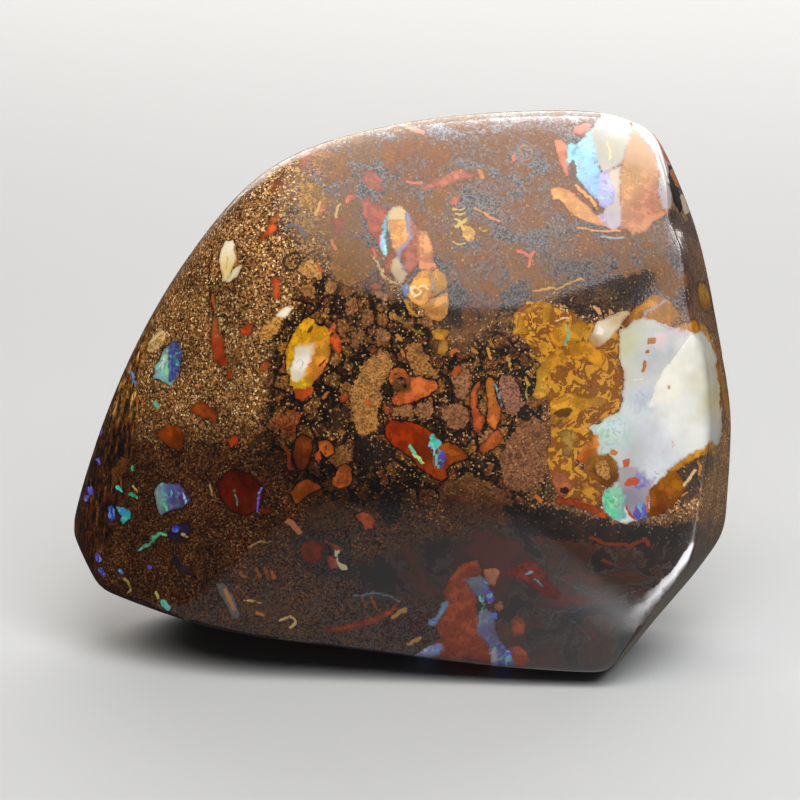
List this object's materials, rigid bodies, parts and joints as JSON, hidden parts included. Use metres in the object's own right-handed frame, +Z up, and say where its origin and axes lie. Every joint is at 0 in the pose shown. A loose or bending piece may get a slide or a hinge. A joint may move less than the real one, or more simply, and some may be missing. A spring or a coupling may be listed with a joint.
{
  "type": "opalized petrified wood",
  "caption": "Polished freeform of opalized petrified wood: a thick, gently domed slab of brown stone with opal patches, ground to facets, standing on a small flat.",
  "frame": {"origin": "middle of the stone's bounding box, on the surface that it stands on", "axes": "+X along the stone's length towards its right end as the polished front is seen, -Y out of the polished front, +Z up"},
  "size_m": [0.1021, 0.0494, 0.0823],
  "materials": {
    "opalized_wood": "high polish, brown sandy ironstone with opal patches"
  },
  "bodies": {
    "root": {"opalized_wood": "opalized_wood"}
  },
  "joints": []
}
